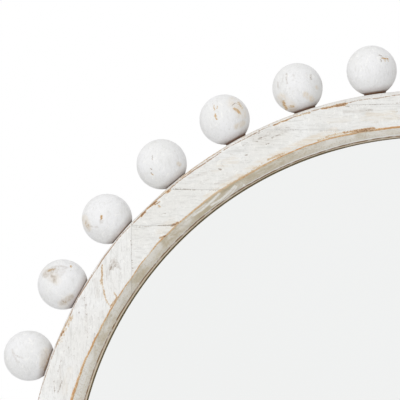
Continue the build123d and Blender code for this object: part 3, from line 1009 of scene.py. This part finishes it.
BALL_NICK = (
    (0.7, 0.7, 150.4, 168.4, 151.4, 169.8), (0.7, 0.64, 151.3, 172.6, 152, 173.8),
    (0.4, 0.4, 212.5, 103, 213.5, 108), (0.7, 0.62, 152.5, 155.8, 152.6, 160),
    (0.5, 0.38, 152.9, 162, 153.2, 166), (0.6, 0.4, 212, 102, 214, 99),
    (0.6, 0.38, 286.6, 76, 286.8, 80), (0.7, 0.46, 311, 76.6, 311.3, 79.4),
    (0.6, 0.66, 379.2, 55.1, 381.8, 56.2), (0.6, 0.66, 380.7, 59.6, 381.9, 62.2),
    (0.5, 0.5, 384.3, 53.8, 384.6, 55), (0.8, 0.45, 231, 107, 235, 103),
)
BALL_SMUDGE = (
    (0.7, 0.3, 12.2, 349, 13.2, 354, 16.5, 360.5, 19, 362),
    (0.6, 0.26, 13.5, 353, 17, 356.5, 23, 358.5), (3, 0.22, 43, 353, 45, 362, 42, 372),
    (1.4, 0.56, 48, 271, 51, 269.8, 54.5, 268.6), (2.8, 0.42, 45, 275, 49, 272, 56, 270),
    (1, 0.34, 46, 271, 54, 266.8, 62, 266, 67, 268), (1.4, 0.54, 52, 276, 55, 278.5, 54, 281.5),
    (3, 0.2, 51, 279, 58, 275, 63, 270), (2.2, 0.44, 62, 303, 67, 300, 71, 297),
    (0.7, 0.3, 86, 222, 89, 226, 97, 227.2), (1, 0.3, 85.5, 221, 87, 226, 89, 231),
    (1.4, 0.4, 101, 220.5, 101.4, 222), (2, 0.08, 236, 128, 241, 124, 243, 121),
    (0.6, 0.4, 286.5, 73.6, 286.8, 80, 287.4, 83.4), (0.5, 0.2, 283.6, 75, 283.2, 82),
    (0.6, 0.26, 293.4, 74.6, 293.8, 80.4), (0.7, 0.5, 310.9, 75, 311.3, 79.4),
    (0.6, 0.36, 277.5, 82, 277.9, 87.4), (0.5, 0.24, 306.3, 72.8, 306.9, 78.6),
    (0.6, 0.3, 321.2, 79.5, 322.8, 86), (1.2, 0.24, 281.6, 99, 283, 104),
    (2, 0.12, 380.5, 58, 388, 58.8),
)


# How far the middles of the seven balls in view stand from the ring's middle, in millimetres, and
# between which distances the others stand
SEEN_DISTANCES = (431.3, 429.7, 430.9, 431.5, 433.0, 432.4, 432.2)
HIDDEN_DISTANCES = (430.6, 433.2)


def ball_angle(node):
    """The angle of a ball, from a sphere fitted to the round part of its CAD mesh."""
    dots = np.array([v.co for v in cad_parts[node].data.vertices], float) / MM
    rough = (dots.max(axis=0) + dots.min(axis=0)) / 2
    dots = dots[(dots - rough) @ rough > 0.0]
    table = np.column_stack([2 * dots, np.ones(len(dots))])
    middle = np.linalg.lstsq(table, (dots**2).sum(axis=1), rcond=None)[0]
    return math.atan2(middle[2], middle[0])


BALL_NODES = [f"ball_{index:02d}" for index in range(1, BALL_COUNT + 1)]
BALL_ANGLES = [ball_angle(node) for node in BALL_NODES]
BALL_DISTANCES = [
    *SEEN_DISTANCES,
    *RNG.uniform(*HIDDEN_DISTANCES, BALL_COUNT - len(SEEN_DISTANCES)),
]
BALL_RINGS = 72
BALL_TURNS = 108

# Turning marks, the rounding of the flat and the gap under it, in millimetres
LATHE_MARK = 0.06
FLAT_ROUND = 0.5
SEAT_GAP = 0.02

# A ball out of view borrows the marks of one in view, so many places on, turned by so many radians
LENDER_STEP = 5
LENDER_TURN = 1.9


def turned(x, z, angle):
    """Points (x, z) turned about the middle."""
    cosine, sine = math.cos(angle), math.sin(angle)
    return x * cosine - z * sine, x * sine + z * cosine


def ball_mesh(node, angle, distance):
    """A turned ball, with a neck where the wall dips, its points about its middle and its seat."""
    seat = distance - RING_OUTER - outer_wall_shift(np.array([angle]))[0] - SEAT_GAP
    rows = np.linspace(0.0, math.acos(-min(seat, BALL_CUT) / BALL_RADIUS), BALL_RINGS + 1)[1:]
    turns = np.linspace(0.0, 2 * math.pi, BALL_TURNS, endpoint=False)
    local = [(BALL_RADIUS, 0.0, 0.0)]
    lathe = RNG.uniform(-LATHE_MARK, LATHE_MARK, BALL_RINGS + 1)
    for row, swing in enumerate(rows):
        out = BALL_RADIUS * math.cos(swing)
        across = BALL_RADIUS * math.sin(swing) + lathe[row] * min(1.0, 0.15 * (BALL_RINGS - row))
        local += [(out, across * math.cos(turn), across * math.sin(turn)) for turn in turns]
    flat = BALL_RADIUS * math.sin(rows[-1]) - FLAT_ROUND
    local += [(-seat, flat * math.cos(turn), flat * math.sin(turn)) for turn in turns]
    local = np.array([*local, (-seat, 0.0, 0.0)])
    x, z = turned(distance + local[:, 0], local[:, 2], angle)
    faces = [(0, 1 + index, 1 + (index + 1) % BALL_TURNS) for index in range(BALL_TURNS)]
    for row in range(BALL_RINGS):
        faces += band_faces(1 + row * BALL_TURNS, 1 + (row + 1) * BALL_TURNS, BALL_TURNS)
    end = len(local) - 1
    last = end - BALL_TURNS
    faces += [(last + index, end, last + (index + 1) % BALL_TURNS) for index in range(BALL_TURNS)]
    return make_object(f"{node}_turned", np.stack([x, local[:, 1], z], axis=1), faces), local, seat


def paint_ball(obj, local, seat, number):
    """Marks of a ball: its own from the photograph where it is in view, and borrowed elsewhere; and
    painted shade towards its seat.
    """
    x, y, z = points_of(obj).T
    if number > len(SEEN_DISTANCES):
        lender = number * LENDER_STEP % len(SEEN_DISTANCES)
        middle_x, middle_z = turned(SEEN_DISTANCES[lender], 0.0, BALL_ANGLES[lender])
        across, upwards = turned(local[:, 0], local[:, 2], number * LENDER_TURN)
        x, z = middle_x + across, middle_z + upwards

    def marks(strokes):
        return stroke_field(x, z, strokes) * (y < 2.0)

    height = np.maximum(local[:, 0] + min(seat, BALL_CUT), 0.0)
    # Painted shade: the ball darkens towards its seat on the ring, with a narrow band of painted
    # contact shadow and dirt at the seat, darker still on the neck
    foot_shade_and_dirt = 0.36 * (1.0 - smooth_step(0.5, 8.0, height))
    foot_shade_and_dirt += 0.38 * (1.0 - smooth_step(0.6, 1.6, height))
    set_numbers(
        obj,
        wear=marks(BALL_WEAR),
        stain=marks(BALL_STAIN),
        nick=marks(BALL_NICK),
        smudge=marks(BALL_SMUDGE),
        grime=foot_shade_and_dirt + 0.18 * (height < 0.01),
        bare=np.arange(len(local)) == len(local) - 1,
        **dict.fromkeys(("seam", "pale", "tone", "shade", "inner_wear", "outer_wear"), 0.0),
        **dict.fromkeys(("lip", "sight", "inner_gap", "outer_gap"), AWAY),
    )
    set_vector(obj, "round_the_ring", local * MM)


def make_balls(paint):
    """Every ball of the ring."""
    for number, node in enumerate(BALL_NODES, start=1):
        ball, local, seat = ball_mesh(node, BALL_ANGLES[number - 1], BALL_DISTANCES[number - 1])
        paint_ball(ball, local, seat, number)
        dress(ball, node, paint)


GLASS_CHAMFER = 0.5
GLASS_TURNS = 360


def make_glass(material):
    """The glass as a disc with eased edges."""
    flat = GLASS_RADIUS - GLASS_CHAMFER
    edge = (GLASS_Y + GLASS_CHAMFER, GLASS_BACK_Y - GLASS_CHAMFER)
    rows = ((flat, GLASS_Y), *((GLASS_RADIUS, depth) for depth in edge), (flat, GLASS_BACK_Y))
    turns = np.linspace(0.0, 2 * math.pi, GLASS_TURNS, endpoint=False)
    vertices = [(r * math.cos(t), depth, r * math.sin(t)) for r, depth in rows for t in turns]
    count = GLASS_TURNS
    faces = [tuple(range(count)), tuple(reversed(range(3 * count, 4 * count)))]
    for row in range(3):
        faces += band_faces(row * count, (row + 1) * count, count)
    glass = make_object("silvered_glass", vertices, faces, smooth=False)
    dress(glass, "mirror_glass", material)


# The studio, in metres and watts: half the floor's width, the gap over the floor, the strength of
# the soft light from all round, and the lamps' names, places, sizes and powers
FLOOR_REACH = 60.0
FLOOR_GAP = 0.0005
AMBIENT = 0.69
LAMPS = (("key", (-0.95, -2.5, 3.2), 2.0, 42.0), ("fill", (-1.9, -2.8, 0.2), 2.2, 20.0))


def make_stage():
    """A pale floor under the mirror."""
    mesh = bpy.data.meshes.new("floor")
    corners = rectangle(-FLOOR_REACH, FLOOR_REACH, -FLOOR_REACH, FLOOR_REACH)
    mesh.from_pydata([(x, y, cad_low.z - FLOOR_GAP) for x, y in corners], [], [(0, 1, 2, 3)])
    floor = new_object("floor", mesh)
    coat(floor, Material("floor_white").finish(FLOOR_WHITE, 0.9))


def make_world():
    """White to the camera and in reflections, and a plain soft light on everything else."""
    world = bpy.data.worlds.new("studio")
    n = Nodes(world)
    path = n.add("LightPath", {})
    direct = n.math("MAXIMUM", path["Is Camera Ray"], path["Is Glossy Ray"])
    direct = n.math("MAXIMUM", direct, path["Is Transmission Ray"])
    soft = n.add("Background", {"Strength": AMBIENT, "Color": PURE_WHITE})[0]
    white = n.add("Background", {"Strength": 1.0, "Color": PURE_WHITE})[0]
    n.add("OutputWorld", {"Surface": n.add("MixShader", {0: direct, 1: soft, 2: white})[0]})
    bpy.context.scene.world = world


def make_lamp(name, place, size, power):
    """A soft square lamp that looks at the middle of the mirror."""
    data = bpy.data.lights.new(name, "AREA")
    data.shape = "SQUARE"
    data.size = size
    data.energy = power
    lamp = new_object(name, data)
    lamp.location = place
    lamp.rotation_euler = (-Vector(place)).to_track_quat("-Z", "Y").to_euler()
    lamp.visible_glossy = False


def make_camera():
    """A long lens in front of the ring's middle, turned to the part that the photograph shows."""
    data = bpy.data.cameras.new("camera")
    camera = new_object("camera", data)
    target_x, target_z = seen(PHOTO_SIZE / 2, PHOTO_SIZE / 2)
    heading = Vector((target_x * MM, CAMERA_DISTANCE, target_z * MM))
    rise = math.atan2(heading.z, math.hypot(heading.x, heading.y))
    camera.location = (0.0, -CAMERA_DISTANCE, 0.0)
    camera.rotation_euler = (math.pi / 2 + rise, 0.0, math.atan2(-heading.x, heading.y))
    data.sensor_width = 36.0
    data.lens = data.sensor_width * heading.length / (PHOTO_SIZE * PHOTO_SCALE * MM)
    data.clip_start, data.clip_end = CLIP
    bpy.context.scene.camera = camera


make_ring(whitewash("whitewash_upright", "z"), whitewash("whitewash_level", "x"))
make_balls(whitewash("whitewash_ball", "round"))
make_glass(mirror_silver())
screw_zinc = zinc("zinc_screws", *SCREW_ZINC)
strap_zinc = zinc("zinc_hangers", *STRAP_ZINC)
for cad_node, cad_material in (
    ("back_board", fibreboard()),
    ("ball_dowels", bare_dowel()),
    ("back_board_screws", screw_zinc),
    ("hanger_screws", screw_zinc),
    ("hanger_straps", strap_zinc),
    ("left_d_ring", strap_zinc),
    ("right_d_ring", strap_zinc),
):
    coat(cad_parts[cad_node], cad_material)
make_stage()
make_world()
for lamp_settings in LAMPS:
    make_lamp(*lamp_settings)
make_camera()

bpy.context.scene.view_settings.view_transform = "Standard"
